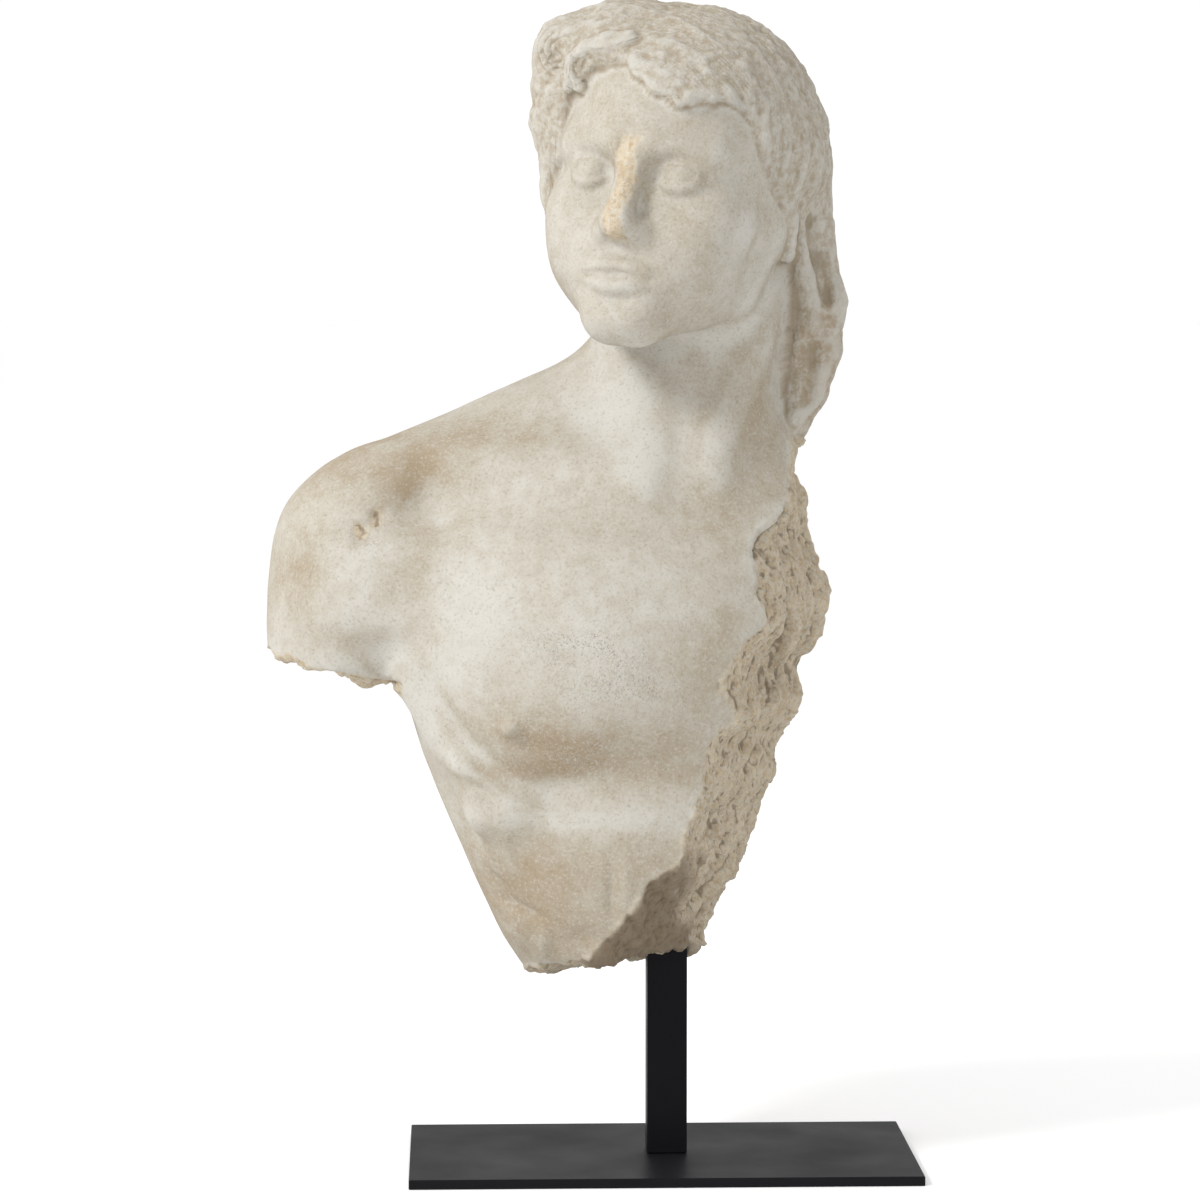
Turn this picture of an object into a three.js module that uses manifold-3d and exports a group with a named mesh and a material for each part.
// A weathered stone torso with its head turned to its right, broken away at its left side and below,
// carried by a square steel post on a thin steel plate.
// Millimetres, +Z up, +X to the viewer's right, the viewer looks along +Y.
// The origin is the centre of the plate's underside.
import * as THREE from 'three';
import { mergeVertices } from 'three/addons/utils/BufferGeometryUtils.js';
import Module from 'manifold-3d';

// Stand sizes
const PLATE_WIDTH = 316;
const PLATE_DEPTH = 170;
const PLATE_THICK = 6;
const BAR = 25;
const BAR_TOP = 146;
const BAR_X = 3.3;
const EDGE_BREAK = 0.5;
const GAP = 0.3;

// Heights of the work above the plate's underside
const UNDERSIDE = 130;
const ARM_BREAK = 311;
const SHOULDER = 432;
const EYE_LINE = 612;

// How the head sits on the neck: its centre and its turn, lean and nod in degrees
const HEAD_CENTRE = [12, -8, EYE_LINE];
const HEAD_TURN = -24;
const HEAD_LEAN = 5;
const HEAD_NOD = -4;

// Rings and sectors of the three shells that the stone is joined from
const BODY_GRID = [52, 44];
const HEAD_GRID = [52, 54];
const FALL_GRID = [22, 14];

// Forms are signed distances, negative inside. These three blend two of them over a width k.
function join(a, b, k) {
  const h = Math.max(k - Math.abs(a - b), 0) / k;
  return Math.min(a, b) - h * h * k / 4;
}

function carve(a, b, k) {
  return -join(-a, b, k);
}

function keep(a, b, k) {
  return -join(-a, -b, k);
}

function easeBetween(low, high, v) {
  return THREE.MathUtils.smoothstep(v, low, high);
}

// An egg of three radii, turned about x, y and z in degrees
function egg(centre, radii, turns = [0, 0, 0]) {
  const spin = new THREE.Matrix4().makeRotationFromEuler(eulerOf(turns));
  const e = spin.elements;
  const [cx, cy, cz] = centre;
  const [rx, ry, rz] = radii;
  return (x, y, z) => {
    const dx = x - cx;
    const dy = y - cy;
    const dz = z - cz;
    const u = (e[0] * dx + e[1] * dy + e[2] * dz) / rx;
    const v = (e[4] * dx + e[5] * dy + e[6] * dz) / ry;
    const w = (e[8] * dx + e[9] * dy + e[10] * dz) / rz;
    const reach = Math.hypot(u, v, w);
    const slope = Math.hypot(u / rx, v / ry, w / rz);
    return slope < 1e-9 ? -Math.min(rx, ry, rz) : reach * (reach - 1) / slope;
  };
}

function eulerOf(turns) {
  const [x, y, z] = turns.map(THREE.MathUtils.degToRad);
  return new THREE.Euler(x, y, z, 'ZYX');
}

// A round limb from a to b whose radius goes from ra to rb
function limb(a, b, ra, rb) {
  const [dx, dy, dz] = [b[0] - a[0], b[1] - a[1], b[2] - a[2]];
  const square = dx * dx + dy * dy + dz * dz;
  return (x, y, z) => {
    const along = ((x - a[0]) * dx + (y - a[1]) * dy + (z - a[2]) * dz) / square;
    const t = THREE.MathUtils.clamp(along, 0, 1);
    const radius = ra + (rb - ra) * t * t * (3 - 2 * t);
    return Math.hypot(x - a[0] - dx * t, y - a[1] - dy * t, z - a[2] - dz * t) - radius;
  };
}

// A lock of hair: limbs in a row through the points. Far off, its bounding ball stands in for it.
const FAR = 25;

function lock(points, radii) {
  const knots = points.map((p) => new THREE.Vector3(...p));
  const ball = new THREE.Box3().setFromPoints(knots).getBoundingSphere(new THREE.Sphere());
  const reach = ball.radius + Math.max(...radii);
  const limbs = points.slice(1).map((p, i) => limb(points[i], p, radii[i], radii[i + 1]));
  return (x, y, z) => {
    const off = Math.hypot(x - ball.center.x, y - ball.center.y, z - ball.center.z) - reach;
    return off > FAR ? off : limbs.reduce((d, part) => join(d, part(x, y, z), 1.5), 1e3);
  };
}

// The side of a flat cut through a point, solid against the way the normal points
function cut(point, normal) {
  const n = new THREE.Vector3(...normal).normalize();
  const offset = n.dot(new THREE.Vector3(...point));
  return (x, y, z) => n.x * x + n.y * y + n.z * z - offset;
}

// The head in its own frame: x to the figure's left, y to the back, z up, eye line at zero.
// Forms given at one side stand for both.
const cranium = egg([0, 8, 34], [71, 91, 69]);
const forehead = egg([0, -22, 30], [61, 69, 52]);
const midface = egg([0, -22, -20], [61, 62, 66]);
const muzzle = egg([0, -68, -56], [33, 28, 32]);
const chin = egg([0, -74, -86], [21, 20, 16]);
const jaw = limb([11, -71, -89], [41, -10, -64], 13, 15);
const jawCorner = limb([41, -10, -64], [54, 0, -25], 15, 15);
const cheekBone = egg([42, -52, -20], [20, 24, 16], [0, 20, -25]);
const cheek = egg([32, -56, -46], [26, 28, 30], [0, 0, -15]);
const brow = limb([10, -84, 14], [42, -69, 15], 7.5, 7);
const eyeHollow = egg([26, -96, -1], [18, 15, 10.5], [0, -4, 14]);
const eyeball = egg([27.5, -73.5, -2], [14, 14, 14]);
const noseBridge = limb([0, -84, 14], [0, -101, -30], 7.5, 8.5);
const noseTip = egg([0, -102, -33], [9.5, 10.5, 8.5]);
const noseWing = egg([11, -93, -36.5], [6.5, 10, 7.5], [0, 0, -15]);
const upperLip = egg([8.5, -92.8, -57.5], [13.5, 6.4, 5], [0, 9, 16]);
const lowerLip = egg([5, -92, -68.5], [14, 6.8, 6], [0, -8, 14]);
const chinHollow = egg([0, -102, -78], [15, 7, 4]);

function headForm(x, y, z) {
  const side = Math.abs(x);
  let d = join(cranium(x, y, z), forehead(x, y, z), 18);
  d = join(d, midface(x, y, z), 30);
  d = join(d, join(jaw(side, y, z), jawCorner(side, y, z), 10), 24);
  d = join(d, cheekBone(side, y, z), 16);
  d = join(d, cheek(side, y, z), 24);
  d = join(d, muzzle(x, y, z), 20);
  d = join(d, chin(x, y, z), 14);
  d = join(d, brow(side, y, z), 18);
  d = carve(d, eyeHollow(side, y, z), 11);
  d = join(d, eyeball(side, y, z), 4);
  const nose = join(join(noseBridge(x, y, z), noseTip(x, y, z), 9), noseWing(side, y, z), 4);
  d = join(d, nose, 8);
  d = carve(d, chinHollow(x, y, z), 9);
  d = join(d, upperLip(side, y, z), 4);
  return join(d, lowerLip(side, y, z), 4.5);
}

// The hair in the head's frame: a worn blanket that ends in a lip over the brow, curls at the figure's
// right temple, and a long wavy fall behind the left ear to the shoulder.
const hairCap = egg([0, 10, 34], [77, 97, 77]);
const hairFront = egg([0, -22, 31], [68, 75, 60]);
const hairCrown = egg([-36, -14, 66], [44, 62, 44], [0, -14, 0]);
const hairOverEar = egg([48, 15, 24], [38, 45, 45]);
const hairNape = egg([8, 46, -34], [60, 40, 78]);
const cornerTop = egg([-65, -43, 71], [23, 28, 24]);
const cornerFoot = egg([-66, -45, 50], [20, 22, 22]);
const templeLock = lock(
  [[-62, -42, 60], [-68, -46, 44], [-72, -49, 29], [-67, -50, 6], [-63, -50, -18], [-60, -46, -36]],
  [14, 10, 11.5, 8, 7, 4]);
const sideFall = lock(
  [[48, 34, 34], [66, 46, -19], [72, 49, -50], [79, 50, -93], [77, 49, -118], [71, 48, -140]],
  [20, 19, 18, 19, 16, 9]);
const outerWave = lock(
  [[70, 44, 16], [76, 46, -14], [82, 48, -40], [90, 48, -62], [88, 48, -84], [80, 50, -104]],
  [8, 7, 7, 10, 8, 4]);
const innerWave = lock(
  [[66, 18, 0], [70, 26, -28], [76, 32, -50], [84, 38, -72]],
  [8, 6, 6, 4]);
const fallHollow = lock([[94, 30, -74], [92, 30, -96], [86, 30, -120]], [5, 8, 5]);
const backFall = lock(
  [[4, 62, 0], [14, 66, -50], [24, 64, -104], [32, 58, -144], [35, 52, -172]],
  [40, 42, 37, 28, 14]);
const rightFall = lock(
  [[-38, 36, 24], [-46, 42, -20], [-42, 44, -62], [-34, 40, -96]],
  [28, 28, 24, 14]);

// Where the hair stops: a worn edge low over the left brow and high over the right, slanting back
// down the cheek
function faceOpening(x, y, z) {
  const top = 43 + 33 * Math.exp(-(((x + 21) / 19) ** 2));
  const back = (y + 0.8 * z + 26) / 1.28;
  return keep(back, z - top, 6);
}

function hairForm(x, y, z) {
  let d = join(hairCap(x, y, z), hairFront(Math.abs(x), y, z), 18);
  d = join(join(d, hairCrown(x, y, z), 14), hairOverEar(x, y, z), 14);
  d = carve(d, faceOpening(x, y, z), 6);
  d = join(d, join(cornerTop(x, y, z), cornerFoot(x, y, z), 8), 10);
  return join(d, templeLock(x, y, z), 8);
}

function hairyHead({ x, y, z }) {
  return join(headForm(x, y, z), hairForm(x, y, z), 4);
}

function hairFall({ x, y, z }) {
  const waves = join(outerWave(x, y, z), innerWave(x, y, z), 8);
  return carve(join(sideFall(x, y, z), waves, 12), fallHollow(x, y, z), 9);
}

// Neck, chest and shoulder, in the part's own frame. "Right" and "left" are the figure's own.
const neck = limb([12, 22, 430], [22, 12, 560], 58, 54);
const rightNeckCord = limb([-36, 4, 574], [-2, -44, 438], 15, 8);
const leftNeckCord = limb([70, 6, 556], [24, -48, 438], 15, 9);
const neckPit = egg([12, -88, 450], [20, 18, 24]);
const rightYoke = limb([-30, 26, 466], [-172, 16, 414], 43, 38);
const leftYoke = limb([40, 24, 455], [90, 22, 415], 36, 34);
const collarBone = limb([-150, -14, SHOULDER + 4], [-16, -50, SHOULDER - 6], 8, 7);
const girdle = egg([-25, 12, 372], [160, 78, 74]);
const ribs = egg([-16, 8, 285], [150, 94, 200]);
const belly = egg([-20, -40, 205], [70, 48, 84]);
const shoulderBlade = egg([-110, 62, 350], [62, 40, 80], [0, 15, 0]);
const spineGroove = limb([-5, 118, UNDERSIDE], [10, 98, 430], 12, 12);
const sideOfRibs = limb([-146, -42, 318], [-96, -62, 236], 24, 22);
const chest = egg([-44, -9, 330], [148, 104, 160]);
const chestLowEdge = cut([-60, -100, 249], [0.02, -0.2, -1]);
const chestUnderCurve = cut([-60, -103, 262], [0.02, -0.72, -0.69]);
const chestOuterEdge = cut([-128, -80, 286], [-0.74, 0.1, -0.67]);
const chestArmSlope = cut([-160, -78, 350], [-0.42, -0.9, 0.05]);
const chestTopEdge = cut([-60, -60, SHOULDER + 16], [0, -0.4, 1]);
const deltoid = egg([-188, 2, 366], [52, 62, 88], [0, 14, 0]);
const upperArm = limb([-191, 4, 388], [-198, 0, 270], 47, 44);
const flank = cut([-163, 0, 289], [-0.909, 0.1, -0.418]);

function bodyForm(x, y, z) {
  let d = join(ribs(x, y, z), girdle(x, y, z), 40);
  d = keep(d, flank(x, y, z), 24);
  d = join(d, join(rightYoke(x, y, z), leftYoke(x, y, z), 20), 34);
  d = join(d, shoulderBlade(x, y, z), 25);
  d = join(d, belly(x, y, z), 40);
  d = carve(d, spineGroove(x, y, z), 14);
  d = join(d, sideOfRibs(x, y, z), 18);
  d = join(d, chestForm(x, y, z), 7);
  const armSoftness = 5 + 41 * easeBetween(306, 356, z) * (1 - easeBetween(385, 425, z));
  d = join(d, armForm(x, y, z), armSoftness);
  const cords = join(rightNeckCord(x, y, z), leftNeckCord(x, y, z), 1);
  d = join(d, join(neck(x, y, z), cords, 20), 34);
  d = join(d, collarBone(x, y, z), 40);
  return carve(d, neckPit(x, y, z), 20);
}

function chestForm(x, y, z) {
  let d = keep(chest(x, y, z), chestUnderCurve(x, y, z), 26);
  d = keep(d, chestLowEdge(x, y, z), 8);
  d = keep(d, chestOuterEdge(x, y, z), 16);
  d = keep(d, chestTopEdge(x, y, z), 110);
  return keep(d, chestArmSlope(x, y, z), 30);
}

// The breaks. Their lumps are a few crossed waves, so a facet of stone is 20 to 40 mm across.
const armStumpFace = cut([-190, 0, ARM_BREAK], [-0.2, 0, -1]);
const lowerFace = cut([22, -100, 217], [0.514, -0.587, -0.625]);
const undersideFace = cut([-9.5, 0, UNDERSIDE], [0.13, -0.16, -1]);
// Height and reach towards +X of the broken side, where it stands out furthest
const SIDE_EDGE = [
  [110, 14], [139, 30], [214, 63], [264, 76], [292, 91], [308, 89], [352, 108],
  [400, 93], [434, 82], [470, 88], [520, 110]];
const SIDE_RIDGE_Y = 12;

function armForm(x, y, z) {
  const d = join(deltoid(x, y, z), upperArm(x, y, z), 20);
  return keep(d, armStumpFace(x, y, z) + lumps(x, y, z), 3);
}

function lumps(x, y, z) {
  const broad = Math.sin(x / 9 + y / 14) * Math.sin(z / 8 - x / 17);
  return 2.2 * broad + 1.2 * Math.sin(y / 5.2 + z / 6.1);
}

function sideReach(z) {
  const above = SIDE_EDGE.findIndex(([height]) => height > z);
  const i = above < 0 ? SIDE_EDGE.length - 1 : Math.max(above, 1);
  const [z0, x0] = SIDE_EDGE[i - 1];
  const [z1, x1] = SIDE_EDGE[i];
  return x0 + (x1 - x0) * easeBetween(z0, z1, z);
}

function sideFace(x, y, z) {
  const facets = Math.sin(y / 13 + z / 21) * Math.sin(z / 12 - y / 17 + 1);
  const flakes = Math.sin(z / 7.1 + y / 9 + x / 20) * Math.sin(y / 6.3 - z / 15);
  const frontSlope = 0.06 + 0.44 * (1 - easeBetween(384, 436, z));
  const front = frontSlope * Math.max(0, SIDE_RIDGE_Y - y);
  const rear = 0.4 * Math.max(0, y - SIDE_RIDGE_Y);
  return (x - sideReach(z) + front + rear + 1.6 * facets + 1.3 * flakes) * 0.88;
}

function brokenBody(x, y, z) {
  let d = keep(bodyForm(x, y, z), sideFace(x, y, z), 3);
  d = keep(d, lowerFace(x, y, z) + lumps(x, y, z), 3);
  return keep(d, undersideFace(x, y, z) + lumps(x, y, z), 4);
}

const headFrame = new THREE.Matrix4().compose(
  new THREE.Vector3(...HEAD_CENTRE),
  new THREE.Quaternion().setFromEuler(eulerOf([HEAD_NOD, HEAD_LEAN, HEAD_TURN])),
  new THREE.Vector3(1, 1, 1));
const intoHead = headFrame.clone().invert();

function bodyWithNape(point) {
  const p = point.clone().applyMatrix4(intoHead);
  const falls = join(backFall(p.x, p.y, p.z), rightFall(p.x, p.y, p.z), 18);
  const nape = join(hairNape(p.x, p.y, p.z), falls, 18);
  return join(brokenBody(point.x, point.y, point.z), nape, 10);
}

// The stone is three lathe shells. The rings of each are drawn in level by level from outside onto its
// form, centred on a spine, and fan out at both ends to close it.
const OUTSIDE = 330;

function slopeOf(form, point) {
  const e = 0.4;
  const at = (dx, dy, dz) => form(new THREE.Vector3(point.x + dx, point.y + dy, point.z + dz));
  return new THREE.Vector3(
    at(e, 0, 0) - at(-e, 0, 0), at(0, e, 0) - at(0, -e, 0), at(0, 0, e) - at(0, 0, -e))
    .divideScalar(2 * e);
}

function settle(form, point, times) {
  for (let i = 0; i < times; i++) {
    const slope = slopeOf(form, point);
    const step = form(point) / Math.max(slope.lengthSq(), 0.25);
    point.addScaledVector(slope, -THREE.MathUtils.clamp(step, -4, 4));
  }
  return point;
}

// From outside towards the spine, to the first touch of the form
function drawIn(form, from, to) {
  const way = to.clone().sub(from);
  const length = way.length();
  way.divideScalar(length);
  let gone = 0;
  for (let i = 0; i < 200 && gone < length; i++) {
    const d = form(from.clone().addScaledVector(way, gone));
    if (d < 0.05) {
      break;
    }
    gone += d * 0.7;
  }
  return from.clone().addScaledVector(way, Math.min(gone, length));
}

function spineAt(spine, z) {
  const above = Math.max(1, spine.findIndex((p) => p.z >= z));
  const [low, high] = [spine[above - 1], spine[above]];
  return low.clone().lerp(high, (z - low.z) / (high.z - low.z));
}

// How far up the shell a ring is, from 0 to 1, gives its level and the rise of its rays
function shellPoint({ form, spine, fans, crowding }, up, round) {
  const [lowFan, highFan] = fans;
  const fall = 1 - Math.min(1, up / lowFan);
  const rise = 1 - Math.min(1, (1 - up) / highFan);
  const tilt = THREE.MathUtils.degToRad(90 * (rise - fall));
  const height = THREE.MathUtils.clamp((up - lowFan) / (1 - highFan - lowFan), 0, 1);
  const [foot, top] = [spine[0].z, spine[spine.length - 1].z];
  const centre = spineAt(spine, foot + (top - foot) * height);
  const turn = round - crowding * Math.sin(round);
  const way = new THREE.Vector3(
    Math.sin(turn) * Math.cos(tilt), -Math.cos(turn) * Math.cos(tilt), Math.sin(tilt));
  return drawIn(form, centre.clone().addScaledVector(way, OUTSIDE), centre);
}

function onlyPositions(geometry) {
  geometry.deleteAttribute('normal');
  geometry.deleteAttribute('uv');
  return mergeVertices(geometry, 1e-4);
}

function drawnShell(shape, [rings, sectors]) {
  const profile = Array.from({ length: rings }, (_, i) => {
    const angle = Math.PI * (i / (rings - 1) - 0.5);
    const onAxis = i === 0 || i === rings - 1;
    return new THREE.Vector2(onAxis ? 0 : Math.cos(angle), Math.sin(angle));
  });
  const shell = new THREE.LatheGeometry(profile, sectors);
  const position = shell.attributes.position;
  for (let sector = 0; sector <= sectors; sector++) {
    const round = 2 * Math.PI * (sector % sectors) / sectors;
    for (let ring = 0; ring < rings; ring++) {
      const onAxis = ring === 0 || ring === rings - 1;
      const p = shellPoint(shape, ring / (rings - 1), onAxis ? 0 : round);
      position.setXYZ(sector * rings + ring, p.x, p.y, p.z);
    }
  }
  return onlyPositions(shell);
}

function neighboursOf(geometry) {
  const near = Array.from({ length: geometry.attributes.position.count }, () => new Set());
  const index = geometry.index.array;
  for (let i = 0; i < index.length; i += 3) {
    for (let j = 0; j < 3; j++) {
      near[index[i + j]].add(index[i + (j + 1) % 3]);
      near[index[i + (j + 1) % 3]].add(index[i + j]);
    }
  }
  return near.map((set) => [...set]);
}

// Points drift to the middle of their neighbours along the surface
function evenOut(geometry, form, passes, drift) {
  const near = neighboursOf(geometry);
  const position = geometry.attributes.position;
  let points = near.map((_, i) => new THREE.Vector3().fromBufferAttribute(position, i));
  for (let pass = 0; pass < passes; pass++) {
    points = points.map((p, i) => {
      const middle = new THREE.Vector3();
      near[i].forEach((j) => middle.addScaledVector(points[j], 1 / near[i].length));
      return settle(form, p.clone().lerp(middle, drift), 1);
    });
  }
  points.forEach((p, i) => position.setXYZ(i, ...settle(form, p, 2)));
  return geometry;
}

function spineOf(points) {
  return points.map((p) => new THREE.Vector3(...p));
}

const bodyShape = {
  form: bodyWithNape,
  spine: spineOf([
    [0, 0, 148], [-30, 0, 230], [-62, 4, 330], [-30, 12, 400], [12, 12, 455], [18, 12, 530], [22, 24, 590]]),
  fans: [0.14, 0.12],
  crowding: 0,
};
const headShape = {
  form: hairyHead,
  spine: spineOf([[0, -40, -72], [0, -20, -40], [0, -14, 0], [0, -10, 62]]),
  fans: [0.17, 0.17],
  crowding: 0.58,
};
const fallShape = {
  form: hairFall,
  spine: spineOf([
    [72, 48, -134], [77, 50, -114], [79, 50, -90], [76, 47, -60], [70, 45, -30], [62, 42, 0], [52, 35, 30]]),
  fans: [0.12, 0.12],
  crowding: 0,
};

// Booleans
const wasm = await Module();
wasm.setup();

function solidOf(geometry) {
  return new wasm.Manifold(new wasm.Mesh({
    numProp: 3,
    vertProperties: new Float32Array(geometry.attributes.position.array),
    triVerts: new Uint32Array(geometry.index.array),
  }));
}

function geometryOf(solid) {
  const { vertProperties, triVerts } = solid.getMesh();
  const geometry = new THREE.BufferGeometry();
  geometry.setAttribute('position', new THREE.BufferAttribute(vertProperties, 3));
  geometry.setIndex(new THREE.BufferAttribute(triVerts, 1));
  return geometry;
}

// A square-edged bar or plate with its long edges lightly broken
function blockGeometry(width, depth, low, high) {
  const w = width / 2 - EDGE_BREAK;
  const d = depth / 2 - EDGE_BREAK;
  const outline = new THREE.Shape([
    new THREE.Vector2(-w, -d), new THREE.Vector2(w, -d), new THREE.Vector2(w, d), new THREE.Vector2(-w, d)]);
  const block = new THREE.ExtrudeGeometry(outline, {
    depth: high - low - 2 * EDGE_BREAK,
    bevelThickness: EDGE_BREAK,
    bevelSize: EDGE_BREAK,
    bevelSegments: 1,
  });
  block.translate(0, 0, low + EDGE_BREAK);
  return onlyPositions(block);
}

// The three shells joined, and the underside pocketed so that the bar is let into the stone
function torsoGeometry() {
  const body = evenOut(drawnShell(bodyShape, BODY_GRID), bodyShape.form, 12, 0.5);
  const head = evenOut(drawnShell(headShape, HEAD_GRID), headShape.form, 2, 0.1);
  const fall = evenOut(drawnShell(fallShape, FALL_GRID), fallShape.form, 3, 0.3);
  head.applyMatrix4(headFrame);
  fall.applyMatrix4(headFrame);
  const side = BAR + 2 * GAP;
  const pocket = onlyPositions(new THREE.BoxGeometry(side, side, 80));
  pocket.translate(BAR_X, 0, BAR_TOP + GAP - 40);
  return geometryOf(solidOf(body).add(solidOf(head)).add(solidOf(fall)).subtract(solidOf(pocket)));
}

function finish(color, roughness, metalness) {
  return new THREE.MeshStandardMaterial({ color, roughness, metalness });
}

const torso = new THREE.Mesh(torsoGeometry(), finish(0xc9c0ae, 0.85, 0));
torso.name = 'torso';

const post = new THREE.Mesh(
  blockGeometry(BAR, BAR, PLATE_THICK + GAP, BAR_TOP), finish(0x1b1b1c, 0.45, 0.3));
post.name = 'post';
post.geometry.translate(BAR_X, 0, 0);

const basePlate = new THREE.Mesh(
  blockGeometry(PLATE_WIDTH, PLATE_DEPTH, 0, PLATE_THICK), finish(0x222224, 0.42, 0.3));
basePlate.name = 'base_plate';

const work = new THREE.Group();
work.add(torso, post, basePlate);

export default work;
